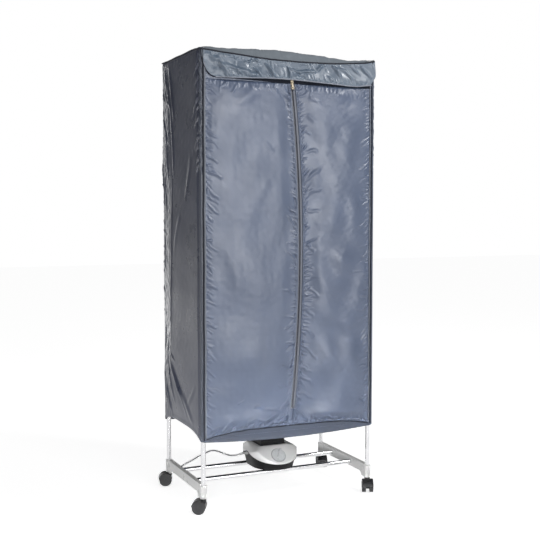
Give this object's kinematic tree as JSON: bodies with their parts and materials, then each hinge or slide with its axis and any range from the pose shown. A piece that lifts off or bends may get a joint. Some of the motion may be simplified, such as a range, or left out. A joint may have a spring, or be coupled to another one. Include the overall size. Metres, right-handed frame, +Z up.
{
  "type": "drying cabinet",
  "caption": "Heated clothes-drying cabinet: tube frame on twin-wheel casters, zipped cloth cover with a flap, and a fan heater with a timer dial on the base rails.",
  "frame": {"origin": "on the floor, below the middle of the frame's four posts", "axes": "+X to the right, +Y to the rear, +Z up; the zip is on the -Y face"},
  "size_m": [0.6805, 0.5809, 1.5163],
  "materials": {
    "chrome_tube": "polished",
    "bracket_plastic": "satin white",
    "tray_plastic": "satin",
    "cover_plastic": "glossy white",
    "duct_plastic": "satin",
    "element_metal": "finned",
    "motor_metal": "satin",
    "rotor_plastic": "satin",
    "timer_plastic": "satin",
    "knob_plastic": "satin silver grey",
    "dial_plastic": "satin",
    "screw_steel": "bright",
    "gland_rubber": "matt",
    "cord_rubber": "satin",
    "tie_plastic": "satin",
    "plug_rubber": "satin",
    "side_cloth": "satin nylon",
    "flap_cloth": "satin nylon",
    "door_cloth": "satin nylon",
    "zip_tape": "woven",
    "zip_brass": "polished",
    "caster_plastic": "satin",
    "wheel_rubber": "satin"
  },
  "bodies": {
    "cabinet": {"base_bracket_left": "bracket_plastic", "base_bracket_right": "bracket_plastic", "base_rail_front": "chrome_tube", "base_rail_rear": "chrome_tube", "lower_post_fl": "chrome_tube", "lower_post_fr": "chrome_tube", "lower_post_rl": "chrome_tube", "lower_post_rr": "chrome_tube", "upper_post_fl": "chrome_tube", "upper_post_fr": "chrome_tube", "upper_post_rl": "chrome_tube", "upper_post_rr": "chrome_tube", "mid_bracket_left": "bracket_plastic", "mid_bracket_right": "bracket_plastic", "mid_rail_front": "chrome_tube", "mid_rail_rear": "chrome_tube", "top_bracket_left": "bracket_plastic", "top_bracket_right": "bracket_plastic", "top_rail_front": "chrome_tube", "top_rail_rear": "chrome_tube", "heater_tray": "tray_plastic", "heater_cover": "cover_plastic", "outlet_duct": "duct_plastic", "heating_element": "element_metal", "fan_motor": "motor_metal", "timer_box": "timer_plastic", "dial_plate": "dial_plastic", "heater_screws": "screw_steel", "cord_gland": "gland_rubber", "mains_cord": "cord_rubber", "cord_coil": "cord_rubber", "cord_tie": "tie_plastic", "plug": "plug_rubber", "cover_back": "side_cloth", "cover_left": "side_cloth", "cover_right": "side_cloth", "cover_roof": "side_cloth", "cover_header": "flap_cloth", "cover_band": "door_cloth"},
    "caster_front_left": {"caster_yoke_fl": "caster_plastic"},
    "wheel_front_left_outer": {"wheel_fl_outer": "wheel_rubber"},
    "wheel_front_left_inner": {"wheel_fl_inner": "wheel_rubber"},
    "caster_front_right": {"caster_yoke_fr": "caster_plastic"},
    "wheel_front_right_outer": {"wheel_fr_outer": "wheel_rubber"},
    "wheel_front_right_inner": {"wheel_fr_inner": "wheel_rubber"},
    "caster_rear_left": {"caster_yoke_rl": "caster_plastic"},
    "wheel_rear_left_outer": {"wheel_rl_outer": "wheel_rubber"},
    "wheel_rear_left_inner": {"wheel_rl_inner": "wheel_rubber"},
    "caster_rear_right": {"caster_yoke_rr": "caster_plastic"},
    "wheel_rear_right_outer": {"wheel_rr_outer": "wheel_rubber"},
    "wheel_rear_right_inner": {"wheel_rr_inner": "wheel_rubber"},
    "timer_knob": {"timer_knob": "knob_plastic"},
    "fan": {"fan_rotor": "rotor_plastic"},
    "left_door": {"door_left": "door_cloth", "zip_left": "zip_tape"},
    "right_door": {"door_right": "door_cloth", "zip_right": "zip_tape"},
    "flap": {"flap": "flap_cloth"},
    "zip_slider": {"zip_slider": "zip_brass"},
    "zip_pull": {"zip_pull": "zip_brass"}
  },
  "joints": [
    {"name": "swivel_front_left", "type": "hinge", "parent": "cabinet", "child": "caster_front_left", "pos_m": [-0.308, -0.178, 0.05], "axis": [0, 0, 1], "continuous": true},
    {"name": "roll_front_left_outer", "type": "hinge", "parent": "caster_front_left", "child": "wheel_front_left_outer", "pos_m": [-0.32025, -0.17121, 0.022], "axis": [-0.4848, -0.8746, 0], "continuous": true},
    {"name": "roll_front_left_inner", "type": "hinge", "parent": "caster_front_left", "child": "wheel_front_left_inner", "pos_m": [-0.32025, -0.17121, 0.022], "axis": [-0.4848, -0.8746, 0], "continuous": true},
    {"name": "swivel_front_right", "type": "hinge", "parent": "cabinet", "child": "caster_front_right", "pos_m": [0.308, -0.178, 0.05], "axis": [0, 0, 1], "continuous": true},
    {"name": "roll_front_right_outer", "type": "hinge", "parent": "caster_front_right", "child": "wheel_front_right_outer", "pos_m": [0.30231, -0.19079, 0.022], "axis": [0.9135, -0.4067, 0], "continuous": true},
    {"name": "roll_front_right_inner", "type": "hinge", "parent": "caster_front_right", "child": "wheel_front_right_inner", "pos_m": [0.30231, -0.19079, 0.022], "axis": [0.9135, -0.4067, 0], "continuous": true},
    {"name": "swivel_rear_left", "type": "hinge", "parent": "cabinet", "child": "caster_rear_left", "pos_m": [-0.308, 0.178, 0.05], "axis": [0, 0, 1], "continuous": true},
    {"name": "roll_rear_left_outer", "type": "hinge", "parent": "caster_rear_left", "child": "wheel_rear_left_outer", "pos_m": [-0.32146, 0.18186, 0.022], "axis": [-0.2756, -0.9613, 0], "continuous": true},
    {"name": "roll_rear_left_inner", "type": "hinge", "parent": "caster_rear_left", "child": "wheel_rear_left_inner", "pos_m": [-0.32146, 0.18186, 0.022], "axis": [-0.2756, -0.9613, 0], "continuous": true},
    {"name": "swivel_rear_right", "type": "hinge", "parent": "cabinet", "child": "caster_rear_right", "pos_m": [0.308, 0.178, 0.05], "axis": [0, 0, 1], "continuous": true},
    {"name": "roll_rear_right_outer", "type": "hinge", "parent": "caster_rear_right", "child": "wheel_rear_right_outer", "pos_m": [0.30414, 0.16454, 0.022], "axis": [0.9613, -0.2756, 0], "continuous": true},
    {"name": "roll_rear_right_inner", "type": "hinge", "parent": "caster_rear_right", "child": "wheel_rear_right_inner", "pos_m": [0.30414, 0.16454, 0.022], "axis": [0.9613, -0.2756, 0], "continuous": true},
    {"name": "timer_turn", "type": "hinge", "parent": "cabinet", "child": "timer_knob", "pos_m": [0.005, -0.085, 0.137], "axis": [0, -0.7071, 0.7071], "range_deg": [-300, 0]},
    {"name": "fan_spin", "type": "hinge", "parent": "cabinet", "child": "fan", "pos_m": [0, 0.008, 0.1265], "axis": [0, 0, 1], "continuous": true},
    {"name": "left_door_swing", "type": "hinge", "parent": "cabinet", "child": "left_door", "pos_m": [-0.3074, -0.19, 0.83], "axis": [0, 0, -1], "range_deg": [0, 120]},
    {"name": "right_door_swing", "type": "hinge", "parent": "cabinet", "child": "right_door", "pos_m": [0.3074, -0.19, 0.83], "axis": [0, 0, 1], "range_deg": [0, 120]},
    {"name": "flap_lift", "type": "hinge", "parent": "cabinet", "child": "flap", "pos_m": [0, -0.1925, 1.48], "axis": [-1, 0, 0], "range_deg": [0, 150]},
    {"name": "zip_run", "type": "hinge", "parent": "cabinet", "child": "zip_slider", "pos_m": [-4.8821, -0.19, 0.8553], "axis": [0, 1, 0], "range_deg": [0, 12.99]},
    {"name": "pull_swing", "type": "hinge", "parent": "zip_slider", "child": "zip_pull", "pos_m": [0.00439, -0.1945, 1.41201], "axis": [-0.9935, 0, -0.1134], "range_deg": [0, 90]}
  ]
}
